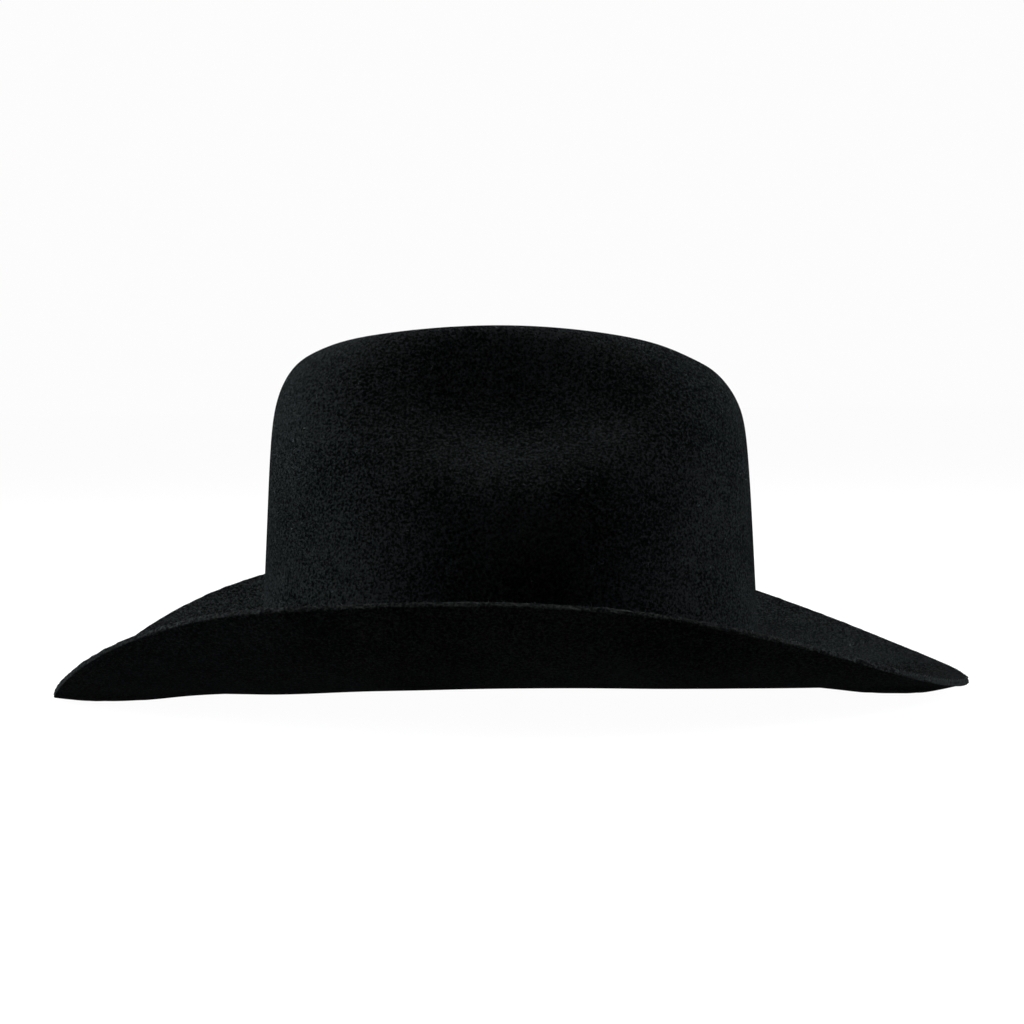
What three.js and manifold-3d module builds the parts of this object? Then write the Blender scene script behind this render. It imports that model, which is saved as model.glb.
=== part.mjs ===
// A western (cowboy) hat in black felt, in millimetres, +Z up and +X to the front.
// It stands on the front and back of its brim at Z = 0, centred on the origin.
//
// The felt crown and brim are one blocked body. Inside the crown are a reeded leather
// sweatband and a satin drop-in lining. Outside, a narrow band with a small buckle set
// lies round the foot of the crown, and can be lifted off over it.
import * as THREE from "three";
import { mergeVertices } from "three/addons/utils/BufferGeometryUtils.js";
import Module from "manifold-3d";

const wasm = await Module();
wasm.setup();

// ---- driving dimensions ----------------------------------------------------------------
const HEAD_LENGTH = 202; // inside the sweatband at its reed, front to back
const HEAD_WIDTH = 166; // the same, side to side
const FELT = 2.4; // thickness of the felt
const LEATHER = 1.0; // thickness of the sweatband leather
const BEHIND_LEATHER = 2.8; // space between the leather and the felt at the reed
const BEHIND_LEATHER_TOP = 2.2; // the same at the top of the sweatband
const GAP = 0.3; // clearance between pieces that touch

const BRIM_AT_ENDS = 86; // reach of the brim past the crown, front and back, in plan
const BRIM_AT_SIDES = 67.5; // the same at the sides, where the brim is rolled up
const SIDE_ROLL = 23.9; // half the rise of the brim's edge from its ends to its sides
const ROLL_SHOULDER = 1.65; // how much the rise starts late and ends square
const ROLL_TO_BACK = 3.9; // how far the highest part of the roll lies behind the middle
const END_TUCK = 1.6; // how much fuller the edge is at the back than at the front
const EDGE_AT_FRONT = 6.0; // top of the brim's edge, which turns up a little in front
const EDGE_AT_BACK = 2.4;
const REST_SINK = 1.0; // how much the felt is pressed flat where it stands

const CROWN_HEIGHT = 155.7; // top of the two ridges above the surface it stands on
const FOOT_AT_SIDES = 15; // top of the brim where the crown rises from it, at the sides
const FOOT_AT_FRONT = 7.1;
const FOOT_AT_BACK = 5.4;
const DENT_SHARPNESS = 3.5; // power of the sine that confines the two side dents
const CREASE_DEPTH = 33; // middle crease below the ridges
const NOTCH_DEPTH = 10; // dip of the rim where the middle crease runs out at the front
const NOTCH_WIDTH = 0.36; // sine of the half-angle of that dip
const REST_FLAT = 0.11; // sine of the half-angle over which the brim lies flat
const REST_WIDTH = 0.26; // sine of the half-angle over which it dips to stand

const SWEATBAND_HEIGHT = 55;
const REED_RADIUS = 1.0;
const TAPE = 0.35; // thickness of the oilcloth tape round the reed
const SATIN = 0.6;
const OVER_LEATHER = 5; // between the top of the sweatband and where the lining leaves the wall
const HEM_ABOVE_FOOT = 30; // lower edge of the lining, behind the sweatband
const TIP_LENGTH = 142; // the oval top of the lining
const TIP_WIDTH = 98;
const TIP_BELOW_CREASE = 16.1; // room between the top of the lining and the felt's crease

const BAND_HEIGHT = 10;
const BAND_THICKNESS = 1.0;
const BAND_ABOVE_FOOT = 4.5;
const BAND_GAP = 0.5; // between the felt and the band
const HEEL_BAR_RADIUS = 0.8;

const COLUMNS = 60; // facets round the hat

// ---- materials -------------------------------------------------------------------------
const material = (color, roughness, metalness = 0) =>
  new THREE.MeshStandardMaterial({ color, roughness, metalness });
const BLACK_FELT = material(0x0b0c0e, 0.95);
const BLACK_LEATHER = material(0x17130f, 0.55);
const BLACK_SATIN = material(0x101014, 0.35);
const BLACK_THREAD = material(0x14110e, 0.7);
const REED_PLASTIC = material(0xb9b2a2, 0.5);
const OILCLOTH = material(0x1a1815, 0.6);
const CLEAR_VINYL = material(0xd8dcdc, 0.1);
const WHITE_TAG = material(0xd9d6cc, 0.8);
const SILVER = material(0xc4c4c2, 0.25, 1);

// ---- mesh helpers ----------------------------------------------------------------------
const vec = (x, y, z) => new THREE.Vector3(x, y, z);
const mix = (a, b, share) => a + (b - a) * share;
const span = (count, from, to) =>
  Array.from({ length: count + 1 }, (_, i) => mix(from, to, i / count));
const smooth = (x) => {
  const s = THREE.MathUtils.clamp(x, 0, 1);
  return s * s * (3 - 2 * s);
};

// Triangles between points as one closed geometry, without those that have no area.
function geometryOf(points, triangles) {
  const raw = new THREE.BufferGeometry();
  raw.setAttribute(
    "position",
    new THREE.Float32BufferAttribute(points.flatMap((p) => [p.x, p.y, p.z]), 3),
  );
  raw.setIndex(triangles.flat());
  const merged = mergeVertices(raw, 1e-4);
  const index = [];
  for (let i = 0; i < merged.index.count; i += 3) {
    const [a, b, c] = [0, 1, 2].map((k) => merged.index.getX(i + k));
    if (a !== b && b !== c && c !== a) index.push(a, b, c);
  }
  merged.setIndex(index);
  merged.computeVertexNormals();
  return merged;
}

// A solid through sections of the same number of points each. A closed one is a ring, and
// an open one gets end caps, made as a ladder between the first and second half of a section.
function loft(sections, closed) {
  const m = sections[0].length;
  const triangles = [];
  const count = closed ? sections.length : sections.length - 1;
  for (let i = 0; i < count; i++) {
    const next = (i + 1) % sections.length;
    for (let j = 0; j < m; j++) {
      const [a, b] = [i * m + j, i * m + ((j + 1) % m)];
      const [c, d] = [next * m + ((j + 1) % m), next * m + j];
      triangles.push([a, b, c], [a, c, d]);
    }
  }
  if (!closed) {
    const last = (sections.length - 1) * m;
    for (let j = 0; j < m / 2 - 1; j++) {
      const [a, b, c, d] = [j, j + 1, m - 2 - j, m - 1 - j];
      triangles.push([a, c, b], [a, d, c]);
      triangles.push([last + a, last + b, last + c], [last + a, last + c, last + d]);
    }
  }
  return geometryOf(sections.flat(), triangles);
}

// Unit normal of a grid of points, rows from the middle outwards and columns round the hat.
function gridNormal(grid, i, j) {
  const columns = grid[0].length;
  const row = grid[i];
  const along = row[(j + 1) % columns].clone().sub(row[(j + columns - 1) % columns]);
  const before = grid[Math.max(i - 1, 0)][j];
  const down = grid[Math.min(i + 1, grid.length - 1)][j].clone().sub(before);
  const normal = down.cross(along);
  return normal.length() < 1e-6 ? vec(0, 0, 1) : normal.normalize();
}

// A sheet of even thickness under a grid of points. Its first row may be a single point.
function sheet(grid, thickness, adjust = (p) => p) {
  const under = grid.map((row, i) =>
    row.map((p, j) => adjust(p.clone().addScaledVector(gridNormal(grid, i, j), -thickness), p)),
  );
  const sections = grid[0].map((_, j) => [
    ...grid.map((row) => row[j]),
    ...under.map((row) => row[j]).reverse(),
  ]);
  return loft(sections, true);
}

function solidOf(geometry) {
  const bare = geometry.clone();
  bare.deleteAttribute("normal");
  bare.deleteAttribute("uv");
  const merged = mergeVertices(bare, 1e-4);
  return new wasm.Manifold(
    new wasm.Mesh({
      numProp: 3,
      vertProperties: merged.attributes.position.array,
      triVerts: new Uint32Array(merged.index.array),
    }),
  );
}

function geometryFrom(solid) {
  const mesh = solid.getMesh();
  const geometry = new THREE.BufferGeometry();
  geometry.setAttribute("position", new THREE.BufferAttribute(mesh.vertProperties, 3));
  geometry.setIndex(new THREE.BufferAttribute(mesh.triVerts, 1));
  geometry.computeVertexNormals();
  return geometry;
}

const hat = new THREE.Group();
hat.name = "cowboy_hat";

function add(name, geometry, look) {
  const mesh = new THREE.Mesh(geometry, look);
  mesh.name = name;
  hat.add(mesh);
}

// ---- the felt's outer surface ------------------------------------------------------------
// t goes round the hat, 0 at the front and a quarter turn at the wearer's left.
const FELT_TO_HEAD = LEATHER + BEHIND_LEATHER + FELT;
const CROWN_A = HEAD_LENGTH / 2 + FELT_TO_HEAD; // half-length of the crown's foot
const CROWN_B = HEAD_WIDTH / 2 + FELT_TO_HEAD; // half-width
const TIP_HEIGHT = CROWN_HEIGHT - CREASE_DEPTH - FELT - TIP_BELOW_CREASE;
const BRIM_A = CROWN_A + BRIM_AT_ENDS;
const BRIM_B = CROWN_B + BRIM_AT_SIDES;

const ringPoint = (t, shift, a, b, z) => vec(shift + a * Math.cos(t), b * Math.sin(t), z);

const footHeight = (t) => {
  const ends = mix(FOOT_AT_BACK, FOOT_AT_FRONT, (1 + Math.cos(t)) / 2);
  return mix(ends, FOOT_AT_SIDES, Math.sin(t) ** 2);
};

const edgeHeight = (t) =>
  mix(EDGE_AT_BACK, EDGE_AT_FRONT, (1 + Math.cos(t)) / 2) +
  SIDE_ROLL * (1 - Math.cos(2 * t)) +
  ROLL_SHOULDER * (1 - Math.cos(4 * t)) +
  ROLL_TO_BACK * (Math.cos(3 * t) - Math.cos(t)) +
  END_TUCK * (Math.cos(5 * t) - Math.cos(t));

const WALL_MIDDLE = 0.454; // height of the crown's middle control point, as a share of the top

// Control points of one meridian, from the middle of the top crease to the brim's edge.
function meridian(t) {
  const front = Math.cos(t);
  const dent = Math.abs(Math.sin(t)) ** DENT_SHARPNESS;
  const notch = Math.exp(-((Math.sin(t) / NOTCH_WIDTH) ** 2));
  const foot = footHeight(t);
  const rise = edgeHeight(t) - foot;
  const rolled = Math.sin(t) ** 2;
  const top = CROWN_HEIGHT;
  const floor = top - CREASE_DEPTH;
  const rim = top - 5.5 + 8 * rolled - 2.6 * front;
  // lift is the share of the rise away from the ends, and low the height at front and back
  const lifted = smooth((Math.abs(Math.sin(t)) - REST_FLAT) / (REST_WIDTH - REST_FLAT));
  const brim = (share, lift, low) =>
    ringPoint(
      t, 0, mix(CROWN_A, BRIM_A, share), mix(CROWN_B, BRIM_B, share),
      mix(low, foot + rise * lift, lifted),
    );
  const crown = (length, width, z, shift = 0) =>
    ringPoint(t, shift, CROWN_A * length, CROWN_B * width, z);
  // The spline passes this low over its one control point that is lower than both neighbours.
  const low = FELT - REST_SINK;
  const inner = low + 2.6;
  const dip = (6 * low - inner - edgeHeight(t)) / 4;
  return [
    vec(0, 0, floor),
    crown(0.243, 0.078, floor),
    crown(0.448, 0.202, floor + 10 + 6 * dent - 2 * notch),
    crown(0.578, 0.348, top - 9.5 + 9 * rolled - NOTCH_DEPTH * notch),
    crown(0.709, 0.538 - 0.078 * dent, rim - 0.5 * NOTCH_DEPTH * notch),
    crown(0.83, 0.762 - 0.247 * dent, top * (0.899 - 0.0757 * dent) - 3 * front),
    crown(0.914, 0.874 - 0.258 * dent, top * (0.8075 - 0.0978 * dent) - 3 * front, 1),
    crown(0.942, 0.919 - 0.022 * dent, top * (0.7035 - 0.0946 * dent) - front, 1),
    ringPoint(t, 1, CROWN_A - 4.2, CROWN_B - 4, top * WALL_MIDDLE),
    ringPoint(t, 0.4, CROWN_A - 2.0, CROWN_B - 1.8, foot + 26),
    ringPoint(t, 0, CROWN_A - 0.4, CROWN_B - 0.4, foot + 6),
    ringPoint(t, 0, CROWN_A + 0.8, CROWN_B + 0.8, foot - 0.6),
    ringPoint(t, 0, CROWN_A + 8, CROWN_B + 8, foot + mix(-1.6, rise * 0.01, lifted)),
    brim(0.36, 0.12, inner),
    brim(0.7, 0.42, dip),
    brim(1, 1, edgeHeight(t)),
  ];
}

// Uniform cubic B-spline through the ends of its control points, at 0 to their number less 1.
function spline(control, u) {
  const last = control.length - 1;
  const i = Math.min(Math.floor(u), last - 1);
  const s = u - i;
  const at = (k) => {
    if (k < 0) return control[0].clone().multiplyScalar(2).sub(control[1]);
    if (k > last) return control[last].clone().multiplyScalar(2).sub(control[last - 1]);
    return control[k];
  };
  const weights = [
    (1 - s) ** 3,
    3 * s ** 3 - 6 * s ** 2 + 4,
    -3 * s ** 3 + 3 * s ** 2 + 3 * s + 1,
    s ** 3,
  ];
  const sum = vec(0, 0, 0);
  weights.forEach((w, k) => sum.addScaledVector(at(i - 1 + k), w / 6));
  return sum;
}

const LIP = 7; // control point at the lip of the side dents
const FOOT = 11; // control point in the corner between crown and brim
const EDGE = 15;

// Point of the crown's outer wall at a height, found by halving.
function wallAt(t, z) {
  const control = meridian(t);
  let [low, high] = [LIP - 2, FOOT];
  for (let i = 0; i < 24; i++) {
    const middle = (low + high) / 2;
    if (spline(control, middle).z > z) low = middle;
    else high = middle;
  }
  const p = spline(control, low);
  p.z = z;
  return p;
}

const outward = (t) => vec(Math.cos(t) / CROWN_A, Math.sin(t) / CROWN_B, 0).normalize();

// A point inside the crown's wall, depth measured from the felt's outer face.
const inside = (t, z, depth) => wallAt(t, z).addScaledVector(outward(t), -depth);

const turn = span(COLUMNS, 0, 2 * Math.PI).slice(0, -1);

function feltBody() {
  const rows = [...span(2 * FOOT, 0, FOOT), ...span(2 * (EDGE - FOOT), FOOT, EDGE).slice(1)];
  const pressed = (p) => p.setZ(Math.max(p.z, FELT));
  const grid = rows.map((u) => turn.map((t) => pressed(spline(meridian(t), u))));
  // where the felt is pressed flat, its underside lies straight below its top at Z = 0
  const under = (p, top) => (top.z > FELT ? p.setZ(Math.max(p.z, 0)) : top.clone().setZ(0));
  return sheet(grid, FELT, under);
}
add("felt_body", feltBody(), BLACK_FELT);

const LINING_DEPTH = FELT + GAP;

// ---- sweatband -----------------------------------------------------------------------------
const LEATHER_BOTTOM = 1.6; // above the foot, just over the reed
const BUTT = 0.006; // half-angle of the butt joint at the back, in radians

const leatherDepth = (t, height) =>
  FELT + mix(BEHIND_LEATHER, BEHIND_LEATHER_TOP, smooth(height / SWEATBAND_HEIGHT));

function sweatband() {
  const heights = span(4, LEATHER_BOTTOM, SWEATBAND_HEIGHT);
  const section = (t) => {
    const face = (extra) =>
      heights.map((h) => inside(t, footHeight(t) + h, leatherDepth(t, h) + extra));
    return [...face(0), ...face(LEATHER).reverse()];
  };
  const angles = span(COLUMNS, -Math.PI + BUTT, Math.PI - BUTT);
  return loft(angles.map((t) => section(t).reverse()), false);
}
add("sweatband_leather", sweatband(), BLACK_LEATHER);

// The centre line of the reed, under the leather.
const REED_DROP = 0.9;
const reedCentre = (t) =>
  inside(t, footHeight(t) + 4, FELT + BEHIND_LEATHER + LEATHER - REED_RADIUS - TAPE).setZ(
    footHeight(t) - REED_DROP,
  );

// A point near the reed, out from its centre and up from it.
const byReed = (t, out, up) => {
  const p = reedCentre(t).addScaledVector(outward(t), out);
  return p.setZ(p.z + up);
};

function reed() {
  const SIDES = 8;
  const section = (t) =>
    span(SIDES, 0, 2 * Math.PI)
      .slice(1)
      .map((a) => byReed(t, REED_RADIUS * Math.cos(a), REED_RADIUS * Math.sin(a)));
  const angles = span(COLUMNS, -Math.PI + BUTT, Math.PI - BUTT);
  return loft(angles.map((t) => section(t).reverse()), false);
}
add("sweatband_reed", reed(), REED_PLASTIC);

// The tape is folded under the reed, and its outer leg stands up behind the leather.
function reedTape() {
  const inner = REED_RADIUS + GAP;
  const outer = inner + TAPE;
  const under = span(6, 0, -Math.PI);
  const section = (t) => [
    inside(t, footHeight(t) + 8, FELT + GAP + 0.1 + TAPE),
    ...under.map((a) => byReed(t, inner * Math.cos(a), inner * Math.sin(a))),
    byReed(t, -inner, 0.9),
    byReed(t, -outer, 0.9),
    ...under.map((a) => byReed(t, outer * Math.cos(a), outer * Math.sin(a))).reverse(),
    inside(t, footHeight(t) + 8, FELT + GAP + 0.1),
  ];
  return loft(turn.map((t) => section(t).reverse()), true);
}
add("reed_tape", reedTape(), OILCLOTH);

// A running thread that waves up and down on the leather's inner face, just over the reed.
function sweatbandStitching() {
  const RADIUS = 0.3;
  const WAVES = 48;
  const depth = FELT + BEHIND_LEATHER + LEATHER + RADIUS + GAP;
  const angles = span(2 * WAVES, 0, 2 * Math.PI).slice(0, -1);
  const section = (t, i) => {
    const z = footHeight(t) + LEATHER_BOTTOM + (i % 2 ? 3.2 : 1.4);
    const centre = inside(t, z, depth);
    return [0, 1, 2, 3].map((k) => {
      const a = (k * Math.PI) / 2;
      const p = centre.clone().addScaledVector(outward(t), RADIUS * Math.cos(a));
      return p.setZ(z + RADIUS * Math.sin(a));
    });
  };
  return loft(angles.map((t, i) => section(t, i).reverse()), true);
}
add("sweatband_stitching", sweatbandStitching(), BLACK_THREAD);

// Maps a flat piece, drawn with x round the back, y up from the foot and z out from the
// middle of the hat, on to the inside of the crown at the back. depth is that of z = 0.
function bendAtBack(geometry, depthAt) {
  const position = geometry.attributes.position;
  for (let i = 0; i < position.count; i++) {
    const [x, h, n] = [position.getX(i), position.getY(i), position.getZ(i)];
    const t = Math.PI + Math.asin(x / CROWN_B);
    const p = inside(t, footHeight(t) + h, depthAt(t, h) - n);
    position.setXYZ(i, p.x, p.y, p.z);
  }
  geometry.computeVertexNormals();
  return geometry;
}

const flatPlate = (width, low, high, thickness) =>
  new THREE.BoxGeometry(width, high - low, thickness, 4, 4, 1)
    .translate(0, (low + high) / 2, thickness / 2);

// Tape behind the butt joint, between the leather and the lining.
const tapeDepth = (t, height) => leatherDepth(t, height) - GAP - 0.1;
const seamTape = bendAtBack(flatPlate(10, 12, HEM_ABOVE_FOOT - 3, 0.5), tapeDepth);
add("back_seam_tape", seamTape, OILCLOTH);

// Zigzag thread that draws the two ends of the leather together.
function backSeamStitch() {
  const RADIUS = 0.3;
  const STEPS = 16;
  const HALF = 2.2;
  const points = span(STEPS, 18, SWEATBAND_HEIGHT - 3).map((h, i) => {
    const t = Math.PI + Math.asin(((i % 2 ? 1 : -1) * HALF) / CROWN_B);
    return inside(t, footHeight(t) + h, leatherDepth(t, h) + LEATHER + RADIUS + GAP + 0.1);
  });
  const square = new THREE.Shape([0, 1, 2, 3].map((k) => {
    const a = (k * Math.PI) / 2;
    return new THREE.Vector2(RADIUS * Math.cos(a), RADIUS * Math.sin(a));
  }));
  const path = new THREE.CatmullRomCurve3(points, false, "catmullrom", 0.1);
  return new THREE.ExtrudeGeometry(square, { extrudePath: path, steps: 2 * STEPS, bevelEnabled: false });
}
add("back_seam_stitch", backSeamStitch(), BLACK_THREAD);

// A small flat ribbon bow at the foot of the seam.
function sweatbandBow() {
  const HALF_LENGTH = 12;
  const HALF_HEIGHT = 4;
  const MIDDLE_AT = 11; // above the foot
  const WAIST = 1.6;
  const bow = new THREE.Shape();
  bow.moveTo(-WAIST, WAIST);
  bow.quadraticCurveTo(-HALF_LENGTH / 2, HALF_HEIGHT, -HALF_LENGTH, HALF_HEIGHT);
  bow.lineTo(-HALF_LENGTH, -HALF_HEIGHT);
  bow.quadraticCurveTo(-HALF_LENGTH / 2, -HALF_HEIGHT, -WAIST, -WAIST);
  bow.lineTo(WAIST, -WAIST);
  bow.quadraticCurveTo(HALF_LENGTH / 2, -HALF_HEIGHT, HALF_LENGTH, -HALF_HEIGHT);
  bow.lineTo(HALF_LENGTH, HALF_HEIGHT);
  bow.quadraticCurveTo(HALF_LENGTH / 2, HALF_HEIGHT, WAIST, WAIST);
  const flat = new THREE.ExtrudeGeometry(bow, { depth: 1.6, bevelEnabled: false, curveSegments: 4 });
  flat.translate(0, MIDDLE_AT, -1.7 - GAP);
  return bendAtBack(flat, (t, h) => leatherDepth(t, h) + LEATHER);
}
add("sweatband_bow", sweatbandBow(), BLACK_SATIN);

// Blank tag tucked behind the sweatband beside the seam, its top end showing.
const TAG_WIDTH = 18;
const tag = new THREE.BoxGeometry(TAG_WIDTH, 16, 0.4, 3, 2, 1).translate(
  -24, SWEATBAND_HEIGHT - 6, 0.2);
add("size_tag", bendAtBack(tag, () => LINING_DEPTH + SATIN + 3 * GAP + 0.1), WHITE_TAG);

// ---- lining --------------------------------------------------------------------------------
const TIP_A = TIP_LENGTH / 2;
const TIP_B = TIP_WIDTH / 2;

// Height where the satin leaves the crown's wall, clear of the sweatband all round.
const SHOULDER_HEIGHT = FOOT_AT_SIDES + SWEATBAND_HEIGHT + OVER_LEATHER;

// Control points of the satin side, from the seam round the tip to the hem.
const liningSide = (t) => [
  ringPoint(t, 1, TIP_A + 1.6, TIP_B + 1.6, TIP_HEIGHT - 3.5),
  ringPoint(t, 1, TIP_A + 9, TIP_B + 10, TIP_HEIGHT - 5),
  ringPoint(t, 1, TIP_A + 19, TIP_B + 22, mix(SHOULDER_HEIGHT, TIP_HEIGHT - 5, 2 / 3)),
  inside(t, SHOULDER_HEIGHT, LINING_DEPTH + 0.4),
  inside(t, mix(footHeight(t) + HEM_ABOVE_FOOT, SHOULDER_HEIGHT, 0.6), LINING_DEPTH),
  inside(t, footHeight(t) + HEM_ABOVE_FOOT, LINING_DEPTH),
];

function satinSide() {
  const rows = span(8, 0, 5);
  const grid = rows.map((u) => turn.map((t) => spline(liningSide(t), u)));
  return sheet(grid, SATIN);
}
add("lining_side", satinSide(), BLACK_SATIN);

// Ribbon sewn along the inside of the hem.
function hemTape() {
  const section = (t) => {
    const corner = (h, extra) =>
      inside(t, footHeight(t) + h, LINING_DEPTH + SATIN + GAP + 0.1 + extra);
    return [
      corner(HEM_ABOVE_FOOT, 0),
      corner(HEM_ABOVE_FOOT + 10, 0),
      corner(HEM_ABOVE_FOOT + 10, 0.4),
      corner(HEM_ABOVE_FOOT, 0.4),
    ];
  };
  return loft(turn.map((t) => section(t).reverse()), true);
}
add("lining_hem_tape", hemTape(), OILCLOTH);

// Shallow oval dish, from the middle to the given half-axes.
function ovalDish(a, b, height, sag, thickness, rings, columns) {
  const grid = span(rings, 0, 1).map((share) =>
    span(columns, 0, 2 * Math.PI)
      .slice(0, -1)
      .map((t) => ringPoint(t, 1, a * share, b * share, height - sag * share ** 2)),
  );
  return sheet(grid, thickness);
}
add("lining_tip", ovalDish(TIP_A, TIP_B, TIP_HEIGHT, 2, SATIN, 4, COLUMNS), BLACK_SATIN);

// Thin cord in the seam between the tip and the side.
function ringCord(a, b, z, radius, columns, sides) {
  const section = (t) =>
    span(sides, 0, 2 * Math.PI)
      .slice(1)
      .map((angle) => {
        const r = radius * Math.cos(angle);
        return ringPoint(t, 1, a + r, b + r, z + radius * Math.sin(angle));
      })
      .reverse();
  return loft(span(columns, 0, 2 * Math.PI).slice(0, -1).map(section), true);
}
const PIPING_RADIUS = 0.9;
const PIPING_DROP = 2 + SATIN + GAP + PIPING_RADIUS; // centre below the tip's middle
add(
  "lining_piping",
  ringCord(TIP_A - 0.6, TIP_B - 0.6, TIP_HEIGHT - PIPING_DROP, PIPING_RADIUS, COLUMNS, 6),
  BLACK_SATIN,
);

// Clear oval that keeps hair oil off the tip, and the thread that holds its edge.
const SHIELD_A = 46;
const SHIELD_B = 32;
const shieldHeight = TIP_HEIGHT - SATIN - 2 * GAP - 0.6;
add("tip_shield", ovalDish(SHIELD_A, SHIELD_B, shieldHeight, 0.8, 0.4, 2, 40), CLEAR_VINYL);
add(
  "shield_stitching",
  ringCord(SHIELD_A - 2, SHIELD_B - 2, shieldHeight - 0.8 - 0.4 - GAP - 0.35, 0.35, 40, 4),
  BLACK_THREAD,
);

// ---- hat band ------------------------------------------------------------------------------
// Round the buckle, on the wearer's left, x runs to the back along the band, y up from the
// band's middle and z out from the felt.
const BAND_MIDDLE = BAND_ABOVE_FOOT + BAND_HEIGHT / 2;
const HEEL_OUT = BAND_GAP + BAND_THICKNESS + GAP + HEEL_BAR_RADIUS; // heel bar's centre
const SLEEVE_RADIUS = HEEL_OUT - BAND_GAP; // the band's end, folded round the heel bar
const FRAME_LENGTH = 12; // heel bar to the front of the buckle
const FRAME_TILT = 0.15; // how far the buckle leans out towards its front, in radians
const KEEPER_AT = 10;
const KEEPER_METAL = 0.5;
const TIP_AT = 24;
const TIP_REACH = 7;
const BEHIND_KEEPER = GAP + 0.3; // the felt bulges a little behind its flat back
const UNDER_KEEPER = BEHIND_KEEPER + KEEPER_METAL + GAP; // the band's lower layer at the keeper
const UPPER_LAYER = UNDER_KEEPER + BAND_THICKNESS + GAP;
const OVER_SLEEVE = HEEL_OUT + SLEEVE_RADIUS + GAP;

const bandAngle = (x) => Math.PI / 2 + Math.asin(x / CROWN_A);

function onBand(t, y, out) {
  const middle = footHeight(t) + BAND_MIDDLE;
  const up = wallAt(t, middle + 4).sub(wallAt(t, middle - 4));
  const along = vec(-CROWN_A * Math.sin(t), CROWN_B * Math.cos(t), 0);
  return wallAt(t, middle + y).addScaledVector(along.cross(up).normalize(), out);
}

// Puts a piece drawn flat round (0, 0, 0) on the band at x, without bending it.
function placeOnBand(geometry, x) {
  const t = bandAngle(x);
  const origin = onBand(t, 0, 0);
  const along = onBand(t + 0.01, 0, 0).sub(onBand(t - 0.01, 0, 0)).normalize();
  const up = onBand(t, 4, 0).sub(onBand(t, -4, 0)).normalize();
  const out = along.clone().cross(up).normalize();
  up.crossVectors(out, along);
  return geometry.applyMatrix4(new THREE.Matrix4().makeBasis(along, up, out).setPosition(origin));
}

const block = (x0, x1, halfHeight, from, to) =>
  new THREE.BoxGeometry(x1 - x0, 2 * halfHeight, to - from).translate(
    (x0 + x1) / 2, 0, (from + to) / 2);
const rod = (radius, height, x, out) =>
  new THREE.CylinderGeometry(radius, radius, height, 16).translate(x, 0, out);
const part = (geometry, x = 0) => solidOf(placeOnBand(geometry, x));

// How far out the inner face of the band lies along its lower and its upper layer.
const lowerLayer = (x) => mix(BAND_GAP, UNDER_KEEPER, smooth(2.2 - Math.abs(x - KEEPER_AT) / 3));
function upperLayer(x) {
  if (x > 0) return mix(OVER_SLEEVE, UPPER_LAYER, smooth((x - 1.5) / 5));
  return mix(OVER_SLEEVE, BAND_GAP, smooth((-x - 1) / 11.5));
}

function strap() {
  const section = (t, out) => {
    const half = BAND_HEIGHT / 2;
    const far = out + BAND_THICKNESS;
    return [onBand(t, -half, out), onBand(t, half, out), onBand(t, half, far), onBand(t, -half, far)];
  };
  const near = span(11, 1, 18).map((x) => section(bandAngle(x), lowerLayer(x)));
  const round = span(60, bandAngle(18), 2 * Math.PI + bandAngle(-14)).slice(1);
  const over = [...span(14, -13, 1), ...span(6, 2, 8), ...span(4, 11, TIP_AT + 5.5)];
  return loft([
    ...near,
    ...round.map((t) => section(t, BAND_GAP)),
    ...over.map((x) => section(bandAngle(x), upperLayer(x))),
  ], false);
}

const TONGUE_WIDTH = 1.8;
const TONGUE_SLOT = TONGUE_WIDTH + 2 * GAP;

function hatBand() {
  const sleeve = part(rod(SLEEVE_RADIUS, BAND_HEIGHT, 0, HEEL_OUT));
  const hole = part(rod(HEEL_BAR_RADIUS + GAP, BAND_HEIGHT + 4, 0, HEEL_OUT));
  const slot = part(block(-8, 2.4, TONGUE_SLOT / 2, -1, 9));
  return geometryFrom(solidOf(strap()).add(sleeve).subtract(hole).subtract(slot));
}
add("hat_band", hatBand(), BLACK_FELT);

function roundedFrame(x0, x1, half, radius) {
  const s = new THREE.Shape();
  s.moveTo(x0 + radius, -half);
  s.lineTo(x1 - radius, -half);
  s.absarc(x1 - radius, -half + radius, radius, -Math.PI / 2, 0);
  s.lineTo(x1, half - radius);
  s.absarc(x1 - radius, half - radius, radius, 0, Math.PI / 2);
  s.lineTo(x0 + radius, half);
  s.absarc(x0 + radius, half - radius, radius, Math.PI / 2, Math.PI);
  s.lineTo(x0, -half + radius);
  s.absarc(x0 + radius, -half + radius, radius, Math.PI, (3 * Math.PI) / 2);
  return s;
}

// The buckle's frame leans out about its heel bar.
const FRAME_HALF = BAND_HEIGHT / 2 + 2.2;
const FRAME_BAR = 1.7;
const FRAME_THICKNESS = 1.3;
const lean = (geometry) => geometry.rotateY(FRAME_TILT).translate(0, 0, HEEL_OUT);

const FLAT = { bevelEnabled: false, curveSegments: 4 };
function buckleFrame() {
  const outer = new THREE.ExtrudeGeometry(roundedFrame(-FRAME_LENGTH, 1.4, FRAME_HALF, 2.2), {
    depth: FRAME_THICKNESS, ...FLAT }).translate(0, 0, -FRAME_THICKNESS / 2);
  const opening = new THREE.ExtrudeGeometry(
    roundedFrame(FRAME_BAR - FRAME_LENGTH, 6, FRAME_HALF - FRAME_BAR, 0.9),
    { depth: 6, ...FLAT }).translate(0, 0, -3);
  const bar = rod(HEEL_BAR_RADIUS, 2 * FRAME_HALF - 1.6, 0, 0);
  const frame = part(lean(outer)).subtract(part(lean(opening)));
  return geometryFrom(frame.add(part(lean(bar))));
}
add("band_buckle", buckleFrame(), SILVER);

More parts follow.
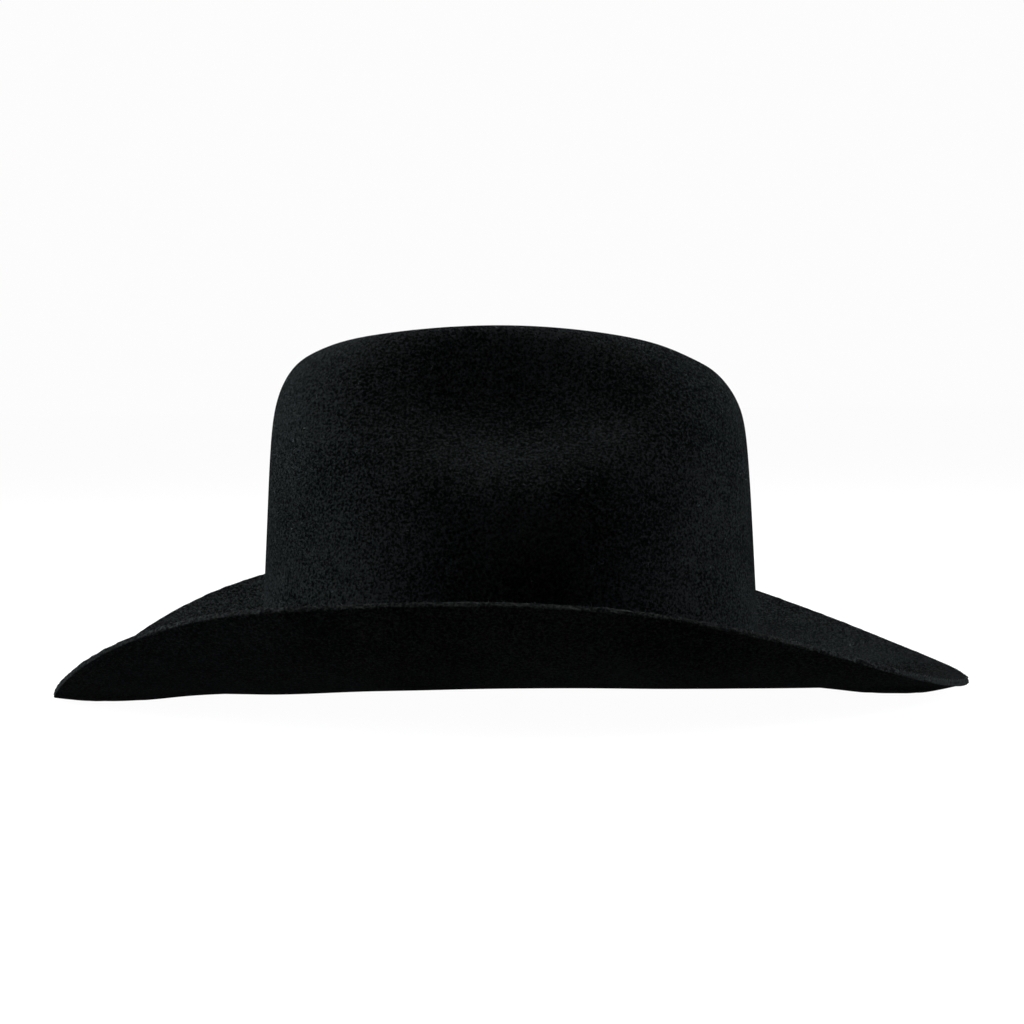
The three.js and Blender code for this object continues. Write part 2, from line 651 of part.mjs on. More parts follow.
// The tongue turns on the heel bar and lies on the front bar of the frame.
const EYE_RADIUS = HEEL_BAR_RADIUS + GAP + 0.55;
function buckleTongue() {
  const side = new THREE.Shape();
  const rest = FRAME_THICKNESS / 2 + GAP;
  side.moveTo(0.4, EYE_RADIUS - 0.1);
  side.lineTo(-1.2, 0.7);
  side.lineTo(-3.0, rest + 1.0);
  side.lineTo(0.4 - FRAME_LENGTH, rest);
  side.lineTo(-0.4 - FRAME_LENGTH, rest + 0.3);
  side.lineTo(-FRAME_LENGTH, rest + 0.8);
  side.lineTo(-3.0, rest + 2.0);
  const arm = new THREE.ExtrudeGeometry(side, { depth: TONGUE_WIDTH, ...FLAT });
  arm.translate(0, 0, -TONGUE_WIDTH / 2).rotateX(Math.PI / 2);
  const eye = rod(EYE_RADIUS, TONGUE_WIDTH, 0, 0);
  const hole = rod(HEEL_BAR_RADIUS + GAP, TONGUE_WIDTH + 2, 0, 0);
  return geometryFrom(part(lean(arm)).add(part(lean(eye))).subtract(part(lean(hole))));
}
add("buckle_tongue", buckleTongue(), SILVER);

// Loop round both layers of the band.
function keeper() {
  const half = BAND_HEIGHT / 2 + GAP + 0.2;
  const from = BEHIND_KEEPER + KEEPER_METAL;
  const to = UPPER_LAYER + BAND_THICKNESS + GAP;
  const outer = block(-2, 2, half + 0.8, BEHIND_KEEPER, to + 0.8);
  const inner = block(-3, 3, half, from, to);
  return geometryFrom(part(outer, KEEPER_AT).subtract(part(inner, KEEPER_AT)));
}
add("band_keeper", keeper(), SILVER);

// Cap on the end of the band.
function bandTip() {
  const half = BAND_HEIGHT / 2 + GAP + 0.2;
  const cap = new THREE.Shape();
  cap.moveTo(0, -half - 0.6);
  cap.lineTo(TIP_REACH, -half - 0.6);
  cap.quadraticCurveTo(TIP_REACH + 2.5, -half / 2, TIP_REACH + 4, 0);
  cap.quadraticCurveTo(TIP_REACH + 2.5, half / 2, TIP_REACH, half + 0.6);
  cap.lineTo(0, half + 0.6);
  const from = UPPER_LAYER - GAP - 0.45;
  const to = UPPER_LAYER + BAND_THICKNESS + GAP;
  const outer = new THREE.ExtrudeGeometry(cap, { depth: to + 0.6 - from, ...FLAT });
  const inner = block(-1, 6.2, half, from + 0.45, to);
  return geometryFrom(part(outer.translate(0, 0, from), TIP_AT).subtract(part(inner, TIP_AT)));
}
add("band_tip", bandTip(), SILVER);

export default hat;
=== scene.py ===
# The looks of the black felt western hat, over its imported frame. Metres, +X front, +Z up.
import math

import bpy
import numpy as np
from mathutils import Matrix, Vector


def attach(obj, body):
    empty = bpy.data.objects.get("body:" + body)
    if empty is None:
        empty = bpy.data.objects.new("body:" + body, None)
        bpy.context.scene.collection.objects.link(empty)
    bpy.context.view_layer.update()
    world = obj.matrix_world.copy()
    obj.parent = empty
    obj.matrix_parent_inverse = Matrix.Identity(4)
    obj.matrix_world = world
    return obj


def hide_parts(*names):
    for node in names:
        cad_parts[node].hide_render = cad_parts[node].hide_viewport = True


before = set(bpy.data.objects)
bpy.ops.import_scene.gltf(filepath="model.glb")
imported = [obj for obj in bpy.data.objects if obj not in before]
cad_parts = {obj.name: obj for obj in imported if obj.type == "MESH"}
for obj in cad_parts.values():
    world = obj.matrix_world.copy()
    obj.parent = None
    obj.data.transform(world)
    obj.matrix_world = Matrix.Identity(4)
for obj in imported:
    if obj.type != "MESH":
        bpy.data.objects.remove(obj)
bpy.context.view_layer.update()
rng = np.random.default_rng(7)
MM = 0.001

# ---- sizes shared with the CAD part, in millimetres ---------------------------------------
HEAD_LENGTH, HEAD_WIDTH = 202.0, 166.0
FELT, LEATHER, GAP = 2.4, 1.0, 0.3
BEHIND_LEATHER, BEHIND_LEATHER_TOP = 2.8, 2.2
CROWN_A = HEAD_LENGTH / 2 + FELT + LEATHER + BEHIND_LEATHER
CROWN_B = HEAD_WIDTH / 2 + FELT + LEATHER + BEHIND_LEATHER
BRIM_AT_ENDS, BRIM_AT_SIDES = 86.0, 67.5
BRIM_A, BRIM_B = CROWN_A + BRIM_AT_ENDS, CROWN_B + BRIM_AT_SIDES
SIDE_ROLL, ROLL_SHOULDER, ROLL_TO_BACK, END_TUCK = 23.9, 1.65, 3.9, 1.6
EDGE_AT_FRONT, EDGE_AT_BACK, REST_SINK = 6.0, 2.4, 1.0
CROWN_HEIGHT, CREASE_DEPTH = 155.7, 33.0
FOOT_AT_SIDES, FOOT_AT_FRONT, FOOT_AT_BACK = 15.0, 7.1, 5.4
REST_FLAT, REST_WIDTH, WALL_MIDDLE = 0.11, 0.26, 0.454
DENT_SHARPNESS, NOTCH_DEPTH, NOTCH_WIDTH = 3.5, 10.0, 0.36
SWEATBAND_HEIGHT, REED_RADIUS, TAPE, SATIN = 55.0, 1.0, 0.35, 0.6
HEM_ABOVE_FOOT, OVER_LEATHER, TIP_BELOW_CREASE = 30.0, 5.0, 16.1
TIP_HEIGHT = CROWN_HEIGHT - CREASE_DEPTH - FELT - TIP_BELOW_CREASE
TIP_A, TIP_B = 71.0, 49.0
BAND_HEIGHT, BAND_THICKNESS, BAND_ABOVE_FOOT, BAND_GAP = 10.0, 1.0, 4.5, 0.5
HEEL_BAR_RADIUS = 0.8


# ---- the hat's surfaces, as arrays over angle t and row u -----------------------------------
def mix(a, b, s):
    return a + (b - a) * s


def smooth(x):
    s = np.clip(x, 0, 1)
    return s * s * (3 - 2 * s)


def oval(t, shift, a, b, z):
    t = np.asarray(t, float)
    return np.stack([shift + a * np.cos(t), b * np.sin(t), z + 0 * t], -1)


def foot_height(t):
    ends = mix(FOOT_AT_BACK, FOOT_AT_FRONT, (1 + np.cos(t)) / 2)
    return mix(ends, FOOT_AT_SIDES, np.sin(t) ** 2)


def edge_height(t):
    c = np.cos
    return (
        mix(EDGE_AT_BACK, EDGE_AT_FRONT, (1 + c(t)) / 2)
        + SIDE_ROLL * (1 - c(2 * t))
        + ROLL_SHOULDER * (1 - c(4 * t))
        + ROLL_TO_BACK * (c(3 * t) - c(t))
        + END_TUCK * (c(5 * t) - c(t))
    )


def meridian(t):
    """Control points from the middle of the crease to the brim's edge, one row per angle."""
    t = np.asarray(t, float)
    front = np.cos(t)
    dent = np.abs(np.sin(t)) ** DENT_SHARPNESS
    notch = np.exp(-((np.sin(t) / NOTCH_WIDTH) ** 2))
    foot = foot_height(t)
    rise = edge_height(t) - foot
    rolled = np.sin(t) ** 2
    lifted = smooth((np.abs(np.sin(t)) - REST_FLAT) / (REST_WIDTH - REST_FLAT))
    top = CROWN_HEIGHT
    floor = top - CREASE_DEPTH
    rim = top - 5.5 + 8 * rolled - 2.6 * front
    low = FELT - REST_SINK
    inner = low + 2.6
    dip = (6 * low - inner - edge_height(t)) / 4

    def crown(length, width, z, shift=0):
        return oval(t, shift, CROWN_A * length, CROWN_B * width, z)

    def brim(share, lift, at_ends):
        z = mix(at_ends, foot + rise * lift, lifted)
        return oval(t, 0, mix(CROWN_A, BRIM_A, share), mix(CROWN_B, BRIM_B, share), z)

    return np.stack(
        [
            oval(t, 0, 0, 0, floor),
            crown(0.243, 0.078, floor),
            crown(0.448, 0.202, floor + 10 + 6 * dent - 2 * notch),
            crown(0.578, 0.348, top - 9.5 + 9 * rolled - NOTCH_DEPTH * notch),
            crown(0.709, 0.538 - 0.078 * dent, rim - 0.5 * NOTCH_DEPTH * notch),
            crown(0.83, 0.762 - 0.247 * dent, top * (0.899 - 0.0757 * dent) - 3 * front),
            crown(0.914, 0.874 - 0.258 * dent, top * (0.8075 - 0.0978 * dent) - 3 * front, 1),
            crown(0.942, 0.919 - 0.022 * dent, top * (0.7035 - 0.0946 * dent) - front, 1),
            oval(t, 1, CROWN_A - 4.2, CROWN_B - 4, top * WALL_MIDDLE),
            oval(t, 0.4, CROWN_A - 2.0, CROWN_B - 1.8, foot + 26),
            oval(t, 0, CROWN_A - 0.4, CROWN_B - 0.4, foot + 6),
            oval(t, 0, CROWN_A + 0.8, CROWN_B + 0.8, foot - 0.6),
            oval(t, 0, CROWN_A + 8, CROWN_B + 8, foot + mix(-1.6, rise * 0.01, lifted)),
            brim(0.36, 0.12, inner),
            brim(0.7, 0.42, dip),
            brim(1, 1, edge_height(t)),
        ],
        -2,
    )


def spline(control, u):
    """Uniform cubic B-spline through the end points; control is (..., k, 3), u (...)."""
    k = control.shape[-2]
    padded = np.concatenate(
        [
            2 * control[..., :1, :] - control[..., 1:2, :],
            control,
            2 * control[..., -1:, :] - control[..., -2:-1, :],
        ],
        -2,
    )
    u = np.broadcast_to(np.asarray(u, float), control.shape[:-2])
    i = np.clip(np.floor(u).astype(int), 0, k - 2)
    s = u - i
    weights = [(1 - s) ** 3, 3 * s**3 - 6 * s**2 + 4, -3 * s**3 + 3 * s**2 + 3 * s + 1, s**3]
    total = 0
    for n, w in enumerate(weights):
        index = np.broadcast_to((i + n)[..., None, None], (*i.shape, 1, 3))
        total = total + (w / 6)[..., None] * np.take_along_axis(padded, index, -2)[..., 0, :]
    return total


LIP, FOOT, EDGE = 7, 11, 15


def wall_at(t, z):
    t, z = np.broadcast_arrays(np.asarray(t, float), np.asarray(z, float))
    control = meridian(t)
    low, high = np.full(t.shape, LIP - 2.0), np.full(t.shape, float(FOOT))
    for _ in range(24):
        middle = (low + high) / 2
        above = spline(control, middle)[..., 2] > z
        low, high = np.where(above, middle, low), np.where(above, high, middle)
    p = spline(control, low)
    p[..., 2] = z
    return p


def outward(t):
    d = np.stack([np.cos(t) / CROWN_A, np.sin(t) / CROWN_B, 0 * np.asarray(t, float)], -1)
    return d / np.linalg.norm(d, axis=-1, keepdims=True)


def inside(t, z, depth):
    return wall_at(t, z) - outward(t) * np.asarray(depth, float)[..., None]


def leather_depth(h):
    return FELT + mix(BEHIND_LEATHER, BEHIND_LEATHER_TOP, smooth(h / SWEATBAND_HEIGHT))


# ---- meshes -----------------------------------------------------------------------------
def mesh_object(name, points, faces, body, node=None):
    """A smooth shaded piece that rides a body; points in millimetres."""
    mesh = bpy.data.meshes.new(name)
    mesh.from_pydata((np.asarray(points, float) * MM).tolist(), [], faces)
    mesh.validate()
    mesh.update()
    mesh.polygons.foreach_set("use_smooth", [True] * len(mesh.polygons))
    obj = bpy.data.objects.new(name, mesh)
    bpy.context.scene.collection.objects.link(obj)
    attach(obj, body)
    if node:
        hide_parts(node)
    return obj


def ring_faces(rows, columns, closed_rows):
    """Quads of a grid of rows by columns that closes round its columns."""
    faces = []
    for i in range(rows if closed_rows else rows - 1):
        a, b = i * columns, ((i + 1) % rows) * columns
        for j in range(columns):
            k = (j + 1) % columns
            faces.append((a + j, b + j, b + k, a + k))
    return faces


def domed_sheet(surface, top, bottom):
    """Points and faces of rows of rings, closed by a fan to a point at each end."""
    n, columns = surface.shape[:2]
    points = np.concatenate([surface.reshape(-1, 3), [top, bottom]])
    faces = ring_faces(n, columns, False)
    first, last = n * columns, (n - 1) * columns
    for j in range(columns):
        k = (j + 1) % columns
        faces.append((first, j, k))
        faces.append((first + 1, last + k, last + j))
    return points, faces


def normals_of(grid):
    """Unit normals of a (rows, columns, 3) grid closed round its columns."""
    along = np.roll(grid, -1, 1) - np.roll(grid, 1, 1)
    down = np.empty_like(grid)
    down[1:-1] = grid[2:] - grid[:-2]
    down[0] = grid[1] - grid[0]
    down[-1] = grid[-1] - grid[-2]
    n = np.cross(down, along)
    length = np.linalg.norm(n, axis=-1, keepdims=True)
    return np.where(length > 1e-9, n / np.maximum(length, 1e-9), [0.0, 0.0, 1.0])


def angles(count):
    return np.linspace(0, 2 * math.pi, count, endpoint=False)


def swept_ring(name, sections, body, node, closed=True):
    """sections is (columns, corners, 3): a closed loop of section outlines, or an open one."""
    n, m = sections.shape[:2]
    faces = ring_faces(n, m, closed)
    if not closed:
        faces.append(tuple(range(m)))
        faces.append(tuple((n - 1) * m + j for j in reversed(range(m))))
    return mesh_object(name, sections.reshape(-1, 3), faces, body, node)


# ---- materials ----------------------------------------------------------------------------
class Nodes:
    """A material's node tree, with short calls for the nodes it is built from."""

    def __init__(self, name, **sockets):
        self.material = bpy.data.materials.new(name)
        self.material.use_nodes = True
        self.tree = self.material.node_tree
        self.shader = self.tree.nodes["Principled BSDF"]
        for key, value in sockets.items():
            socket = self.shader.inputs[key.replace("_", " ")]
            socket.default_value = (*value, 1) if socket.type == "RGBA" else value
        self.place = self.node("ShaderNodeTexCoord").outputs["Object"]

    def node(self, kind, **settings):
        n = self.tree.nodes.new(kind)
        for key, value in settings.items():
            setattr(n, key, value)
        return n

    def link(self, a, b):
        self.tree.links.new(a, b)

    def scaled(self, x, y, z):
        n = self.node("ShaderNodeMapping")
        n.inputs["Scale"].default_value = (x, y, z)
        self.link(self.place, n.inputs["Vector"])
        return n.outputs["Vector"]

    def noise(self, scale, detail=3.0, rough=0.55, place=None):
        n = self.node("ShaderNodeTexNoise")
        n.inputs["Scale"].default_value = scale
        n.inputs["Detail"].default_value = detail
        n.inputs["Roughness"].default_value = rough
        self.link(place or self.place, n.inputs["Vector"])
        return n.outputs["Fac"]

    def cell_edges(self, scale, place=None):
        n = self.node("ShaderNodeTexVoronoi", feature="DISTANCE_TO_EDGE")
        n.inputs["Scale"].default_value = scale
        self.link(place or self.place, n.inputs["Vector"])
        return n.outputs["Distance"]

    def math(self, operation, a, b):
        n = self.node("ShaderNodeMath", operation=operation)
        for socket, value in zip(n.inputs, (a, b)):
            if isinstance(value, (int, float)):
                socket.default_value = value
            else:
                self.link(value, socket)
        return n.outputs[0]

    def ramp(self, factor, stops):
        n = self.node("ShaderNodeValToRGB")
        while len(n.color_ramp.elements) < len(stops):
            n.color_ramp.elements.new(0.5)
        for element, (at, colour) in zip(n.color_ramp.elements, stops):
            element.position = at
            element.color = (*colour, 1)
        self.link(factor, n.inputs["Fac"])
        return n.outputs["Color"]

    def into(self, socket, value):
        self.link(value, self.shader.inputs[socket])

    def bump(self, *layers):
        """Each layer is (height, strength, distance in metres)."""
        last = None
        for height, strength, distance in layers:
            n = self.node("ShaderNodeBump")
            n.inputs["Strength"].default_value = strength
            n.inputs["Distance"].default_value = distance
            self.link(height, n.inputs["Height"])
            if last:
                self.link(last, n.inputs["Normal"])
            last = n.outputs["Normal"]
        self.into("Normal", last)


def paint(obj, material):
    obj.data.materials.clear()
    obj.data.materials.append(material)


def felt_material(name, low, high, sheen):
    m = Nodes(
        name, Roughness=0.9, Specular_IOR_Level=0.0, Sheen_Weight=sheen, Sheen_Roughness=0.42,
        Sheen_Tint=(0.86, 0.95, 1.0),
    )
    pebble = m.noise(950, 3, 0.6)
    fine = m.noise(2600, 3, 0.6)
    cloud = m.noise(22, 4, 0.6)
    patch = m.noise(140, 3, 0.6)
    tone = m.math("ADD", m.math("MULTIPLY", pebble, 0.55), m.math("MULTIPLY", fine, 0.25))
    tone = m.math("ADD", tone, m.math("MULTIPLY", cloud, 0.14))
    m.into("Base Color", m.ramp(tone, [(0.424, low), (0.551, high)]))
    m.bump((patch, 0.4, 0.002), (pebble, 1.0, 0.008), (fine, 1.0, 0.002))
    return m.material


FELT_BLACK = felt_material("felt_black", (0.0001, 0.0002, 0.0002), (0.0073, 0.0080, 0.0082), 0.007)
# the cut edge's felt is lighter for its raw fibres, and in part its lighter colour is a painted
# highlight along the brim's rim
FELT_CUT_EDGE_AND_HIGHLIGHT = felt_material("felt_cut_edge_painted_highlight", (0.0004, 0.0005, 0.0005), (0.0115, 0.0122, 0.012), 0.014)
FELT_BAND = felt_material("band_felt_black", (0.0005, 0.0006, 0.0007), (0.0042, 0.0047, 0.005), 0.007)


# ---- the felt crown and brim ----------------------------------------------------------------
def felt_body():
    """The felt with its cut edge; gives the grid of its upper face and the normals there."""
    columns = 420
    t = angles(columns)
    control = meridian(t)
    rows = np.concatenate(
        [[0.0], np.linspace(0, FOOT, 141)[1:], np.linspace(FOOT, EDGE, 81)[1:]]
    )
    grid = np.stack([spline(control, u) for u in rows])
    # the brim is steamed by hand, so it isn't quite even
    r = rows[:, None]
    on_brim = smooth((r - FOOT) / 2)
    wave = 0.5 * np.sin(5 * t + 0.7) + 0.35 * np.sin(9 * t + 2.1) + 0.2 * np.sin(14 * t)
    side = smooth(1.6 * np.sin(t) ** 2 - 0.3)
    grid[..., 2] += on_brim * side * wave * 0.7
    on_crown = smooth((r - 3) / 3) * (1 - smooth((r - 8) / 2.5))
    dimple = 0.45 * np.sin(4 * t + 1.1) + 0.3 * np.sin(7 * t + 0.3 + 0.5 * r)
    grid[..., :2] += (on_crown * dimple)[..., None] * outward(t)[None, :, :2]
    # pressed flat where it stands
    depth = grid[..., 2] - FELT
    grid[..., 2] = FELT + 0.5 * (depth + np.sqrt(depth**2 + 0.04)) - 0.09
    normal = normals_of(grid)
    # the cut edge: a rounded lip, with the fibres of the cut a little uneven
    uneven = 0.17 * rng.normal(size=columns) + 0.12 * np.sin(23 * t) * np.sin(3 * t)
    edge_out = np.cross(normal[-1], np.roll(grid[-1], -1, 0) - np.roll(grid[-1], 1, 0))
    edge_out /= np.linalg.norm(edge_out, axis=-1, keepdims=True)
    if np.dot(edge_out[0], [1, 0, 0]) < 0:
        edge_out = -edge_out
    lip = []
    for a in np.linspace(0, math.pi, 9)[1:-1]:
        down = FELT / 2 * (1 - math.cos(a))
        out = 0.45 * math.sin(a) ** 0.5 + uneven * math.sin(a)
        jitter = 0.09 * rng.normal(size=columns)
        lip.append(grid[-1] - normal[-1] * down + edge_out * (out + jitter)[:, None])
    under = grid - normal * FELT
    flat = grid[..., 2] < FELT + 0.02
    under[flat] = grid[flat] - [0, 0, FELT]
    under[..., 2] = np.maximum(under[..., 2], 0.0)
    surface = np.concatenate([grid[1:], np.stack(lip), under[:0:-1]])
    surface[..., 2] = np.maximum(surface[..., 2], 0.0)
    points, faces = domed_sheet(surface, grid[0, 0], under[0, 0])
    obj = mesh_object("felt_hat", points, faces, "hat", "felt_body")
    paint(obj, FELT_BLACK)
    # the rounded lip takes the lighter cut-edge felt, which carries a painted highlight
    obj.data.materials.append(FELT_CUT_EDGE_AND_HIGHLIGHT)
    last = len(grid) - 1
    walls = (len(surface) - 1) * columns
    cut = [last - 1 <= i // columns < last + len(lip) for i in range(walls)]
    obj.data.polygons.foreach_set("material_index", [int(c) for c in cut] + [0] * (2 * columns))
    return grid, normal


felt_grid, felt_normal = felt_body()


def stray_fibres():
    """Loose hairs of the nap, bent over and lying along the felt, each a thin flat strip."""
    points, faces = [], []
    rows, columns = felt_grid.shape[:2]
    count, steps = 2600, 5
    floor = np.array([-np.inf, -np.inf, 0.02])
    for _ in range(count):
        by_edge = rng.random() < 0.3
        i = rows - 1 if by_edge else int(rng.integers(4, rows - 1))
        j = int(rng.integers(0, columns))
        start, up = felt_grid[i, j], felt_normal[i, j]
        along = np.cross(up, rng.normal(size=3))
        along /= np.linalg.norm(along)
        side = np.cross(up, along)
        length, bend = rng.uniform(0.6, 2.2), rng.uniform(-0.8, 0.8)
        lift, wide = rng.uniform(0.1, 0.34), rng.uniform(0.014, 0.024)
        base = len(points)
        for k in range(steps + 1):
            s = k / steps
            centre = start + along * (length * s) + side * (bend * s * s)
            centre = centre + up * (0.02 + lift * math.sin(2.6 * s))
            half = wide * (1 - 0.6 * s)
            points.append(np.maximum(centre + side * half, floor))
            points.append(np.maximum(centre - side * half, floor))
        for k in range(steps):
            a = base + 2 * k
            faces.append((a, a + 2, a + 3, a + 1))
    obj = mesh_object("felt_stray_fibres", points, faces, "hat")
    paint(obj, FIBRE)


def fibre_material():
    m = Nodes("felt_stray_fibre", Roughness=0.8, Specular_IOR_Level=0.2)
    tone = m.ramp(m.noise(60, 2), [(0.4, (0.01, 0.011, 0.012)), (0.62, (0.1, 0.11, 0.12))])
    m.into("Base Color", tone)
    return m.material


FIBRE = fibre_material()
stray_fibres()


# ---- tubes, for threads, cords, reed and metal --------------------------------------------------
def frames_along(path, closed):
    """Two normals at each point, turned as little as possible on the way."""
    path = np.asarray(path, float)
    if closed:
        tangent = np.roll(path, -1, 0) - np.roll(path, 1, 0)
    else:
        tangent = np.gradient(path, axis=0)
    tangent /= np.linalg.norm(tangent, axis=-1, keepdims=True)
    helper = np.array([0.0, 0.0, 1.0])
    if abs(tangent[0] @ helper) > 0.9:
        helper = np.array([1.0, 0.0, 0.0])
    normal = np.empty_like(path)
    current = helper - tangent[0] * (helper @ tangent[0])
    for i, d in enumerate(tangent):
        current = current - d * (current @ d)
        current /= np.linalg.norm(current)
        normal[i] = current
    return normal, np.cross(tangent, normal)


def tube_mesh(path, radii, sides, closed, points, faces, flat=1.0):
    """Adds a tube to points and faces. radii is one number or one per point, and flat
    how many times as thick the tube is along its first normal."""
    path = np.asarray(path, float)
    normal, side = frames_along(path, closed)
    radii = np.broadcast_to(np.asarray(radii, float), (len(path),))
    a = angles(sides)
    base = len(points)
    for p, n, s, r in zip(path, normal, side, radii):
        for x, y in zip(np.cos(a), np.sin(a)):
            points.append(p + r * (x * flat * n + y * s))
    m = len(path)
    for i in range(m if closed else m - 1):
        for j in range(sides):
            k = (j + 1) % sides
            a0, a1 = base + i * sides, base + (i + 1) % m * sides
            faces.append((a0 + j, a0 + k, a1 + k, a1 + j))
    if not closed:
        faces.append(tuple(base + j for j in reversed(range(sides))))
        faces.append(tuple(base + (m - 1) * sides + j for j in range(sides)))


def tubes(name, paths, radii, sides, body, node=None, closed=False):
    points, faces = [], []
    for path in paths:
        tube_mesh(path, radii, sides, closed, points, faces)
    return mesh_object(name, points, faces, body, node)


def capsule(start, end, sag, steps=6):
    """A short stitch from start to end that stands proud by sag at its middle."""
    s = np.linspace(0, 1, steps)[:, None]
    return start + (end - start) * s + sag * np.sin(math.pi * s)


# ---- leather, satin, thread and metal ------------------------------------------------------------
def leather_material():
    m = Nodes("sweatband_leather_dark", Roughness=0.42, Specular_IOR_Level=0.45)
    pores = m.cell_edges(900)
    creases = m.cell_edges(330, m.scaled(1, 1, 0.6))
    cloud = m.noise(30, 5, 0.6)
    tone = m.ramp(cloud, [(0.3, (0.013, 0.0075, 0.0045)), (0.7, (0.03, 0.017, 0.01))])
    m.into("Base Color", tone)
    m.into("Roughness", m.math("ADD", m.math("MULTIPLY", m.noise(60, 3), 0.25), 0.3))
    creases = m.math("MINIMUM", creases, 0.16)
    pores = m.math("MINIMUM", pores, 0.1)
    m.bump((creases, 0.7, 0.0007), (pores, 0.5, 0.0004))
    return m.material


def satin_material(name, low, high):
    m = Nodes(
        name, Roughness=0.34, Specular_IOR_Level=0.5, Anisotropic=0.6, Sheen_Weight=0.05,
        Sheen_Roughness=0.3,
    )
    weft = m.noise(1, 2, 0.5, m.scaled(260, 260, 2600))
    warp = m.noise(1, 2, 0.5, m.scaled(2200, 2200, 240))
    tone = m.math("ADD", m.math("MULTIPLY", weft, 0.6), m.math("MULTIPLY", warp, 0.4))
    m.into("Base Color", m.ramp(tone, [(0.35, low), (0.65, high)]))
    m.bump((m.noise(90, 3), 0.25, 0.0005), (tone, 0.25, 0.0002))
    return m.material


def ribbon_material(name, low, high):
    m = Nodes(name, Roughness=0.6, Sheen_Weight=0.08, Sheen_Roughness=0.4)
    ribs = m.node("ShaderNodeTexWave", wave_type="BANDS", bands_direction="Z")
    ribs.inputs["Scale"].default_value = 420
    ribs.inputs["Distortion"].default_value = 0.4
    m.link(m.place, ribs.inputs["Vector"])
    m.into("Base Color", m.ramp(m.noise(700, 3), [(0.35, low), (0.65, high)]))
    m.bump((ribs.outputs["Fac"], 0.5, 0.0003), (m.noise(1500, 2), 0.3, 0.0002))
    return m.material


def thread_material():
    m = Nodes("waxed_thread", Roughness=0.5)
    twist = m.noise(1, 2, 0.5, m.scaled(1900, 1900, 1900))
    m.into("Base Color", m.ramp(twist, [(0.35, (0.012, 0.01, 0.008)), (0.65, (0.05, 0.042, 0.034))]))
    m.bump((twist, 0.6, 0.0003))
    return m.material


def plastic_material(name, colour, rough):
    m = Nodes(name, Roughness=rough)
    darker = tuple(c * 0.85 for c in colour)
    m.into("Base Color", m.ramp(m.noise(200, 3), [(0.3, darker), (0.7, colour)]))
    m.bump((m.noise(900, 2), 0.2, 0.0002))
    return m.material


def metal_material():
    m = Nodes("buckle_silver", Metallic=1.0, Roughness=0.2)
    tone = m.ramp(m.noise(260, 4), [(0.3, (0.62, 0.61, 0.59)), (0.7, (0.78, 0.77, 0.75))])
    m.into("Base Color", tone)
    worn = m.math("ADD", m.math("MULTIPLY", m.noise(500, 3), 0.2), 0.12)
    m.into("Roughness", worn)
    m.bump((m.noise(1600, 2), 0.15, 0.0001))
    return m.material


def vinyl_material():
    m = Nodes(
        "clear_vinyl_shield", Base_Color=(0.9, 0.93, 0.93), Roughness=0.08, Transmission_Weight=1.0,
        IOR=1.2,
    )
    m.bump((m.noise(40, 3), 0.2, 0.0006))
    return m.material


def tag_material():
    m = Nodes("blank_tag", Roughness=0.85)
    weave = m.noise(1, 2, 0.5, m.scaled(1500, 1500, 1500))
    m.into("Base Color", m.ramp(weave, [(0.35, (0.5, 0.48, 0.42)), (0.65, (0.68, 0.66, 0.6))]))
    m.bump((weave, 0.5, 0.0002))
    return m.material


LEATHER_DARK = leather_material()
SATIN_BLACK = satin_material("satin_black", (0.007, 0.007, 0.010), (0.02, 0.02, 0.026))
RIBBON = ribbon_material("ribbon_black", (0.006, 0.006, 0.008), (0.02, 0.02, 0.024))
OILCLOTH = ribbon_material("oilcloth_black", (0.008, 0.008, 0.007), (0.022, 0.021, 0.019))
THREAD = thread_material()
REED = plastic_material("reed_plastic", (0.5, 0.46, 0.38), 0.45)
SILVER = metal_material()
VINYL = vinyl_material()
TAG = tag_material()


# ---- sweatband ---------------------------------------------------------------------------------
BUTT = 0.006  # half-angle of the butt joint at the back
LEATHER_BOTTOM = 1.6
REED_DROP = 0.9
STITCH_RADII = [0.16, 0.28, 0.3, 0.3, 0.28, 0.16]


def sweatband():
    t = np.linspace(-math.pi + BUTT, math.pi - BUTT, 481)
    low, high = LEATHER_BOTTOM, SWEATBAND_HEIGHT
    middle = np.linspace(low + 0.7, high - 0.7, 40)
    h = np.concatenate([[low, low + 0.25], middle, [high - 0.25, high]])
    # how far each row of both faces draws in, to round the edges
    rim = np.array([0.32, 0.12] + [0.0] * len(middle) + [0.12, 0.32])
    sides = []
    ripple = 0.12 * np.sin(11 * t + 0.5) + 0.1 * np.sin(17 * t + 2)
    for depth, sign in ((0.0, 1), (LEATHER, -1)):
        rows = []
        for hh, r in zip(h, rim):
            lean = ripple * smooth((hh - 20) / 35)
            groove = 0.0
            if sign < 0:
                groove = 0.28 * math.exp(-(((hh - 50.5) / 0.45) ** 2))
                groove += 0.22 * math.exp(-(((hh - 8.0) / 0.5) ** 2))
            d = leather_depth(hh) + depth + sign * r - groove + lean
            rows.append(inside(t, foot_height(t) + hh, np.broadcast_to(d, t.shape)))
        sides.append(np.stack(rows, 1))
    sections = np.concatenate([sides[0], sides[1][:, ::-1]], 1)
    obj = swept_ring(
        "sweatband", sections[:, ::-1], "hat", "sweatband_leather", False
    )
    paint(obj, LEATHER_DARK)


def reed_centre(t):
    depth = FELT + BEHIND_LEATHER + LEATHER - REED_RADIUS - TAPE
    p = inside(t, foot_height(t) + 4, np.full(np.shape(t), depth))
    p[..., 2] = foot_height(t) - REED_DROP
    return p


def by_reed(t, out, up):
    """A point out from the reed's centre and up from it."""
    p = reed_centre(t) + outward(t) * out
    p[..., 2] += up
    return p


